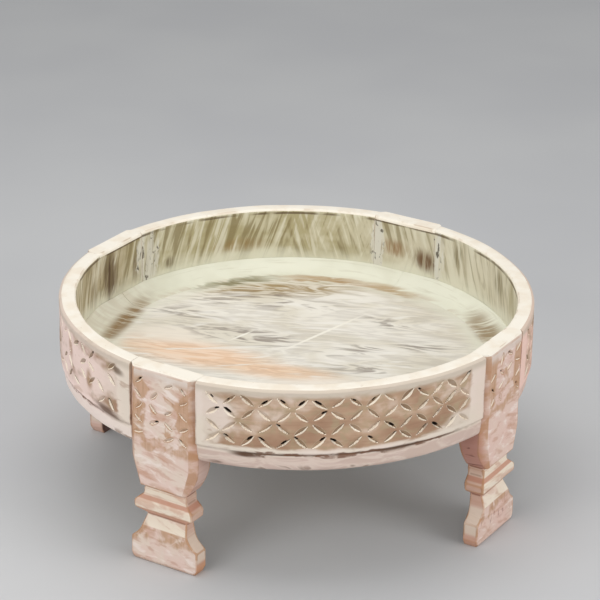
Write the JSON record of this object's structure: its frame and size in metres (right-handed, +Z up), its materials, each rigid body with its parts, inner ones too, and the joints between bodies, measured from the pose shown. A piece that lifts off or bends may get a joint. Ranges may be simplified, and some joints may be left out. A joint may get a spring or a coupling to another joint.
{
  "type": "coffee table",
  "caption": "Low round tray coffee table with a chip-carved rim, plank floor and flat moulded legs in whitewashed wood.",
  "frame": {"origin": "on the ground, below the centre of the round rim", "axes": "+Z up, -Y towards the front rim panel, legs on the diagonals between X and Y"},
  "size_m": [0.7, 0.7, 0.305],
  "materials": {
    "rim_wood": "whitewashed and rubbed, matt",
    "leg_wood": "whitewashed and rubbed, matt",
    "cove_wood": "thick whitewash, matt",
    "floor_wood": "whitewashed and sanded, matt",
    "batten_wood": "bare planed wood",
    "nail_iron": "dull forged iron"
  },
  "bodies": {
    "root": {"rim_front": "rim_wood", "rim_right": "rim_wood", "rim_back": "rim_wood", "rim_left": "rim_wood", "leg_front_left": "leg_wood", "leg_front_right": "leg_wood", "leg_back_right": "leg_wood", "leg_back_left": "leg_wood", "cove_front": "cove_wood", "cove_right": "cove_wood", "cove_back": "cove_wood", "cove_left": "cove_wood", "floor_board_1": "floor_wood", "floor_board_2": "floor_wood", "floor_board_3": "floor_wood", "floor_board_4": "floor_wood", "floor_board_5": "floor_wood", "batten_left": "batten_wood", "batten_right": "batten_wood", "batten_nails": "nail_iron"}
  },
  "joints": []
}
